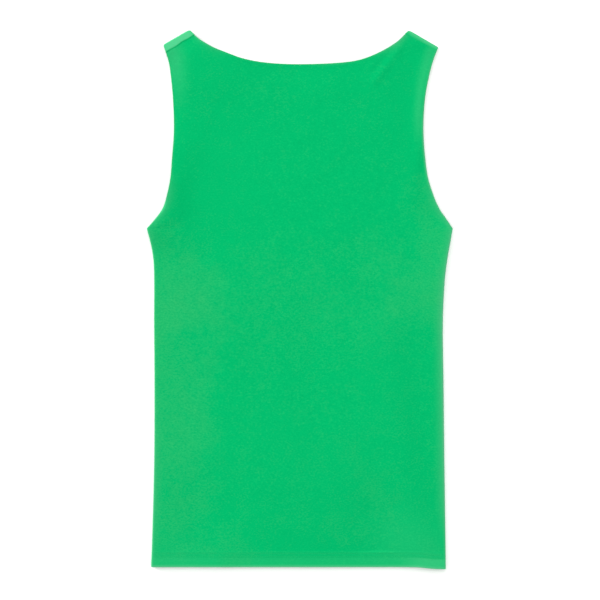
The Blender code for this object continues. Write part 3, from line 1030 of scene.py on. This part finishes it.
def cottonJersey(name):
    # Cotton jersey, piece dyed and knitted fine. Its loops scatter the light, so it is matte, with a soft
    # bloom at its edges, flecks from uneven yarn and faint streaks along the courses.
    # Painted highlight, painted edge sheen and painted warm sheen are also mixed into its base colour below.
    surface = {
        "Roughness": jersey["roughness"],
        "Specular IOR Level": jersey["specular"],
        "Sheen Weight": jersey["sheen"],
        "Sheen Roughness": jersey["sheenRoughness"],
        "Sheen Tint": colour(jersey["sheenTint"]),
    }
    material, tree, shader = newMaterial(name, surface)
    place = addNode(tree, "TexCoord").outputs["Object"]

    # V shapes that stand in columns
    wales = {"Vector": place, "Scale": bandScale(jersey["wale"])}
    leg = addNode(tree, "TexWave", wales, bands_direction="X", wave_profile="TRI")
    crown = addNode(tree, "TexWave", wales, bands_direction="X")
    slant = {0: leg.outputs["Fac"], 1: (0.0, jersey["course"] * mm / 2, 0.0), 2: place}
    slanted = addNode(tree, "VectorMath", slant, operation="MULTIPLY_ADD")
    rows = {"Vector": slanted.outputs[0], "Scale": bandScale(jersey["course"])}
    courses = addNode(tree, "TexWave", rows, bands_direction="Y")
    courseRise = addNode(tree, "MapRange", {0: courses.outputs["Fac"], 3: jersey["courseLeast"], 4: 1.0})
    rises = {0: crown.outputs["Fac"], 1: courseRise.outputs[0]}
    loops = addNode(tree, "Math", rises, operation="MULTIPLY")

    # flecks, mottling and streaks of the yarn and dye
    squashed = addNode(tree, "Mapping", {"Vector": place, "Scale": jersey["fleckSquash"]})
    fleckScale = 1 / (jersey["fleck"] * mm)
    fleck = addNode(
        tree,
        "TexNoise",
        {"Vector": squashed.outputs[0], "Scale": fleckScale, "Detail": 3.0, "Roughness": 0.65},
    )
    mottleScale = 1 / (jersey["mottle"] * mm)
    mottle = addNode(tree, "TexNoise", {"Vector": place, "Scale": mottleScale, "Detail": 4.0})
    streakScale = (1 / (jersey["streak"][0] * mm), 1 / (jersey["streak"][1] * mm), 1.0)
    alongCourses = addNode(tree, "Mapping", {"Vector": place, "Scale": streakScale})
    streak = addNode(tree, "TexNoise", {"Vector": alongCourses.outputs[0], "Scale": 1.0, "Detail": 2.0})

    # each of them spread to both sides of a middle value
    spans = []
    for pattern, middle, half in (
        (fleck, jersey["plainWarmth"], jersey["fleckWarmth"]),
        (mottle, 0.0, jersey["mottleWarmth"]),
        (fleck, 1, jersey["fleckTone"]),
        (streak, 1, jersey["streakTone"]),
    ):
        ends = {0: pattern.outputs["Fac"], 3: middle - half, 4: middle + half}
        spans.append(addNode(tree, "MapRange", ends, clamp=False).outputs[0])
    fleckWarmth, mottleWarmth, fleckTone, streakTone = spans

    # the places of painted warm sheen, their outlines strayed by a slow noise
    driftScale = 1 / (jersey["strayWave"] * mm)
    drift = addNode(tree, "TexNoise", {"Vector": place, "Scale": driftScale, "Detail": 5.0})
    fromHalf = {0: drift.outputs["Color"], 1: (0.5, 0.5, 0.5)}
    centred = addNode(tree, "VectorMath", fromHalf, operation="SUBTRACT")
    stray = {0: centred.outputs[0], 1: [reach * mm for reach in jersey["stray"]], 2: place}
    strayed = addNode(tree, "VectorMath", stray, operation="MULTIPLY_ADD")
    warmthAndSheen = addNode(tree, "Math", {0: fleckWarmth, 1: mottleWarmth}, operation="ADD")
    for x, height, halfWidth, halfHeight, full, strength in warmSheenPlaces:
        ellipse = {
            "Vector": strayed.outputs[0],
            "Location": (x * mm, (height - garment["length"] / 2) * mm, 0.0),
            "Scale": (halfWidth * mm, halfHeight * mm, 1.0),
        }
        local = addNode(tree, "Mapping", ellipse, vector_type="TEXTURE")
        away = addNode(tree, "VectorMath", {0: local.outputs[0]}, operation="LENGTH")
        fade = {0: away.outputs["Value"], 1: full, 2: 1.0, 3: strength, 4: 0.0}
        share = addNode(tree, "MapRange", fade, interpolation_type="SMOOTHSTEP")
        warmthAndSheen = addNode(tree, "Math", {0: warmthAndSheen.outputs[0], 1: share.outputs[0]}, operation="ADD")

    # warm flecks and dye clouds, with the painted warm sheen, turn the green toward the warm one
    greens = {0: warmthAndSheen.outputs[0], 6: colour(jersey["green"]), 7: colour(jersey["fleckAndSheenGreen"])}
    dyed = addNode(tree, "Mix", greens, data_type="RGBA")
    tone = addNode(tree, "Math", {0: fleckTone, 1: streakTone}, operation="MULTIPLY")
    toned = addNode(tree, "VectorMath", {0: dyed.outputs[2], "Scale": tone.outputs[0]}, operation="SCALE")
    cloth = toned.outputs[0]
    # painted sheen along the edges, then painted highlight, mixed into the colour
    for attribute, green in (("sheenShare", "sheenGreen"), ("highlightShare", "highlightGreen")):
        share = addNode(tree, "Attribute", attribute_name=attribute).outputs["Fac"]
        greens = {0: share, 6: cloth, 7: colour(jersey[green])}
        cloth = addNode(tree, "Mix", greens, data_type="RGBA").outputs[2]
    tree.links.new(cloth, shader.inputs["Base Color"])

    reliefs = {0: fleck.outputs["Fac"], 1: jersey["fleckRelief"], 2: loops.outputs[0]}
    relief = addNode(tree, "Math", reliefs, operation="MULTIPLY_ADD")
    raised = {"Height": relief.outputs[0], "Distance": jersey["loopHeight"] * mm, "Strength": 1.0}
    bump = addNode(tree, "Bump", raised)
    tree.links.new(bump.outputs[0], shader.inputs["Normal"])
    return material


thread = {
    "green": "#20B36C",
    "shade": "#0CA862",
    "twist": 0.42,  # length of one turn of the ply
    "uneven": 0.6,
    "relief": 0.03,
    "reliefStrength": 0.6,
    "roughness": 0.7,
    "specular": 0.1,
}


def spunPolyester(name):
    # Spun polyester sewing thread, dyed to match and twisted. It is a shade lighter than the cloth, with a
    # little more gloss, and its turns catch the light.
    surface = {"Roughness": thread["roughness"], "Specular IOR Level": thread["specular"]}
    material, tree, shader = newMaterial(name, surface)
    place = addNode(tree, "TexCoord").outputs["Object"]
    turns = {"Vector": place, "Scale": bandScale(thread["twist"]), "Distortion": thread["uneven"]}
    twist = addNode(tree, "TexWave", turns, bands_direction="DIAGONAL").outputs["Fac"]
    greens = {0: twist, 6: colour(thread["shade"]), 7: colour(thread["green"])}
    shade = addNode(tree, "Mix", greens, data_type="RGBA")
    tree.links.new(shade.outputs[2], shader.inputs["Base Color"])
    raised = {"Height": twist, "Distance": thread["relief"] * mm, "Strength": thread["reliefStrength"]}
    tree.links.new(addNode(tree, "Bump", raised).outputs[0], shader.inputs["Normal"])
    return material


jerseyMaterial = cottonJersey("cotton jersey")
for piece in (backJersey, frontJersey):
    piece.data.materials.append(jerseyMaterial)
threadMaterial = spunPolyester("spun polyester thread")
for piece in (backStitching, frontStitching):
    piece.data.materials.append(threadMaterial)
print("materials made")

studio = {
    "floorSize": 12.0,  # in metres
    "floorDrop": 0.2,  # millimetres under the garment, so that the two share no plane
    "paper": "#FCFCFB",
    "paperShade": "#FAFAF9",
    "grain": 10 / 9,  # size of the paper's fibres, in millimetres
    "world": 0.90,
    # place and size in metres, and the light it gives the middle of the floor, where a white world gives 1
    "softboxes": {
        "low softbox at the upper left": ((-7.0, 4.5, 2.1), (3.0, 1.8), 0.27),
        "softbox overhead": ((0.6, 2.0, 3.6), (2.4, 1.6), 0.17),
        "low softbox at the right": ((5.0, -1.0, 1.8), (2.0, 1.4), 0.08),
    },
    "lens": 100.0,
    "sensor": 36.0,
    "viewWidth": 600 * 1.2127,  # the picture is 600 pixels of 1.2127 mm
    "centre": (-0.1, -1.3),  # the picture's middle, from the garment's
}


def makeFloor():
    mesh = bpy.data.meshes.new("floor")
    half = studio["floorSize"] / 2
    corners = [(-half, -half, 0), (half, -half, 0), (half, half, 0), (-half, half, 0)]
    mesh.from_pydata(corners, [], [(0, 1, 2, 3)])
    floor = addObject("floor", mesh)
    floor.location.z = -studio["floorDrop"] * mm
    # White paper, uncoated: matte, with a faint fibre grain
    surface = {"Roughness": 0.95, "Specular IOR Level": 0.1}
    material, tree, shader = newMaterial("white paper sweep", surface)
    grain = addNode(tree, "TexNoise", {"Scale": 1 / (studio["grain"] * mm), "Detail": 2.0})
    whites = {0: grain.outputs["Fac"], 6: colour(studio["paper"]), 7: colour(studio["paperShade"])}
    paper = addNode(tree, "Mix", whites, data_type="RGBA")
    tree.links.new(paper.outputs[2], shader.inputs["Base Color"])
    mesh.materials.append(material)
    return floor


def addSoftbox(name, place, size, share):
    lamp = bpy.data.lights.new(name, "AREA")
    lamp.shape = "RECTANGLE"
    lamp.size, lamp.size_y = size
    lamp.energy = share * math.pi ** 2 * Vector(place).length ** 3 / place[2]
    box = addObject(name, lamp)
    box.location = place
    box.rotation_euler = (-Vector(place)).to_track_quat("-Z", "Y").to_euler()


paperFloor = makeFloor()
for name, settings in studio["softboxes"].items():
    addSoftbox(name, *settings)

world = bpy.data.worlds.new("studio")
world.use_nodes = True
world.node_tree.nodes["Background"].inputs["Color"].default_value = (1.0, 1.0, 1.0, 1.0)
world.node_tree.nodes["Background"].inputs["Strength"].default_value = studio["world"]
bpy.context.scene.world = world
bpy.context.scene.view_settings.view_transform = "Standard"

lens = bpy.data.cameras.new("camera")
lens.lens = studio["lens"]
lens.sensor_width = studio["sensor"]
camera = addObject("camera", lens)
distance = studio["viewWidth"] * studio["lens"] / studio["sensor"]
camera.location = [at * mm for at in (*studio["centre"], distance + backPanel["loft"])]
bpy.context.scene.camera = camera
print("studio set")

for piece in (backJersey, frontJersey, backStitching, frontStitching):
    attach(piece, "root")
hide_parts("back_panel")
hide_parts("front_panel")
